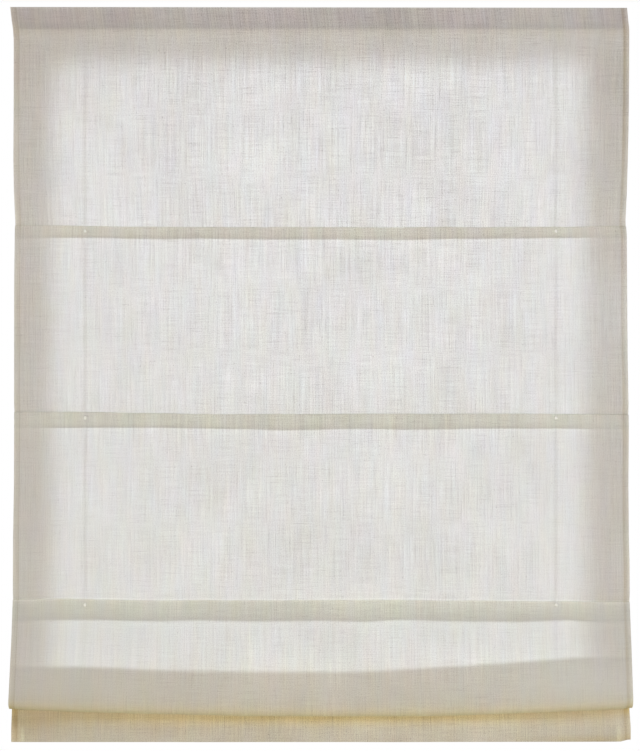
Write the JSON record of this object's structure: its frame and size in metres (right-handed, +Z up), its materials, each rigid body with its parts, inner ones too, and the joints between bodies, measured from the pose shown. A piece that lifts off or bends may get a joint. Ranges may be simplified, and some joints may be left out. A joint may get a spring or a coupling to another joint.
{
  "type": "roman blind",
  "caption": "Cordless linen roman blind with sewn rod pockets, a rounded bottom pleat and a weighted hem, hung by tape on a spring-balanced aluminium headrail with wall brackets.",
  "frame": {"origin": "middle of the line between the two wall-screw holes, on the wall face of the brackets, at the headrail's mid height", "axes": "+X to the right as seen from the room, +Y from the room towards the wall, +Z up"},
  "size_m": [1, 0.0889, 1.1964],
  "materials": {
    "linen": "matt woven linen, lets light through",
    "aluminium": "satin anodised",
    "steel": "zinc plated",
    "spring_steel": "bare spring band",
    "white_plastic": "moulded, satin",
    "grey_plastic": "moulded, matt",
    "glass_fibre": "pultruded rod, satin",
    "cord_white": "braided, off-white"
  },
  "bodies": {
    "headrail": {"headrail": "aluminium", "end_cap_left": "white_plastic", "end_cap_right": "white_plastic", "bracket_left": "steel", "bracket_right": "steel", "hook_tape": "white_plastic", "loop_tape": "cord_white", "spool_cradle_left": "grey_plastic", "spool_cradle_right": "grey_plastic", "motor_case": "grey_plastic", "motor_spring": "spring_steel", "storage_axle": "steel", "lift_cord_left": "cord_white", "lift_cord_right": "cord_white", "cloth": "linen"},
    "lift_shaft": {"lift_shaft": "steel", "spool_left": "white_plastic", "spool_right": "white_plastic", "motor_drum": "white_plastic"},
    "storage_drum": {"storage_drum": "white_plastic"},
    "rod_1": {"rod_1": "glass_fibre", "rod_tips_1": "white_plastic", "rings_1": "white_plastic", "buttons_1": "cord_white"},
    "rod_2": {"rod_2": "glass_fibre", "rod_tips_2": "white_plastic", "rings_2": "white_plastic", "buttons_2": "cord_white"},
    "bottom": {"rod_3": "glass_fibre", "rod_tips_3": "white_plastic", "rings_3": "white_plastic", "buttons_3": "cord_white", "rod_4": "glass_fibre", "rod_tips_4": "white_plastic", "rings_4": "white_plastic", "cord_orbs": "white_plastic", "bottom_bar": "aluminium", "bar_caps": "white_plastic"},
    "latch_left": {"latch_left": "steel"},
    "latch_right": {"latch_right": "steel"}
  },
  "joints": [
    {"name": "lift", "type": "slide", "parent": "headrail", "child": "bottom", "axis": [0, 0, 1], "range_m": [0, 0.778], "deforming": ["cloth", "lift_cord_left", "lift_cord_right"]},
    {"name": "rod_1_rise", "type": "slide", "parent": "headrail", "child": "rod_1", "axis": [0, 0, 1], "range_m": [0, 0.27]},
    {"name": "rod_2_rise", "type": "slide", "parent": "headrail", "child": "rod_2", "axis": [0, 0, 1], "range_m": [0, 0.525]},
    {"name": "shaft_spin", "type": "hinge", "parent": "headrail", "child": "lift_shaft", "pos_m": [0, -0.031, 0], "axis": [-1, 0, 0], "range_deg": [0, 5000]},
    {"name": "storage_spin", "type": "hinge", "parent": "headrail", "child": "storage_drum", "pos_m": [0, -0.0134, 0], "axis": [-1, 0, 0], "range_deg": [-6700, 0]},
    {"name": "latch_left_turn", "type": "hinge", "parent": "headrail", "child": "latch_left", "pos_m": [-0.43, -0.027, 0.0133], "axis": [0, 0, -1], "range_deg": [0, 90]},
    {"name": "latch_right_turn", "type": "hinge", "parent": "headrail", "child": "latch_right", "pos_m": [0.43, -0.027, 0.0133], "axis": [0, 0, 1], "range_deg": [0, 90]}
  ],
  "couplings": [
    {"joint": "rod_1_rise", "follows": "lift", "ratio": 0.34598},
    {"joint": "rod_2_rise", "follows": "lift", "ratio": 0.67299},
    {"joint": "shaft_spin", "follows": "lift", "rad_per_m": 111.11},
    {"joint": "storage_spin", "follows": "lift", "rad_per_m": -149}
  ]
}
